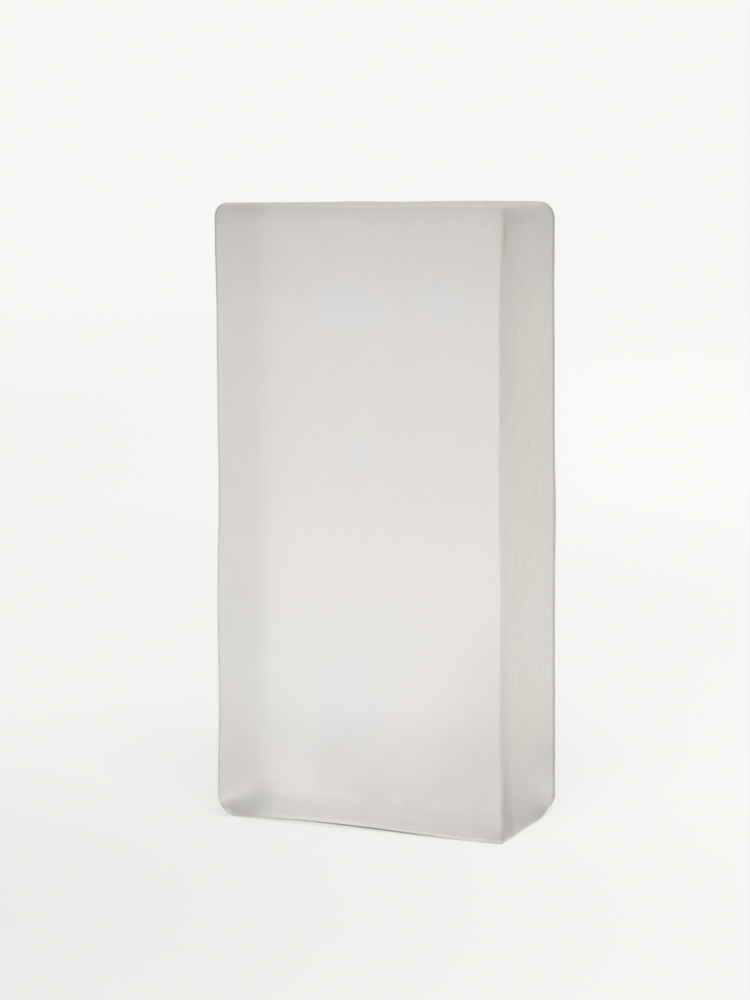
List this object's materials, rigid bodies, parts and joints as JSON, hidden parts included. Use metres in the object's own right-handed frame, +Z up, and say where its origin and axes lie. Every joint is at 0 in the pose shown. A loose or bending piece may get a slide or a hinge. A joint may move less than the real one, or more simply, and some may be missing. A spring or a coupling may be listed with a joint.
{
  "type": "glass block",
  "caption": "Solid cast-glass building block with frosted faces, softly rounded edges and slightly drawn-in flanks, standing on its narrow end.",
  "frame": {"origin": "middle of the foot, on the plane the block stands on", "axes": "+Z up along the block's height, +X across its width, +Y from the front face to the back face"},
  "size_m": [0.1, 0.05, 0.2],
  "materials": {
    "frosted_glass": "satin frosted, as cast"
  },
  "bodies": {
    "root": {"glass_block": "frosted_glass"}
  },
  "joints": []
}
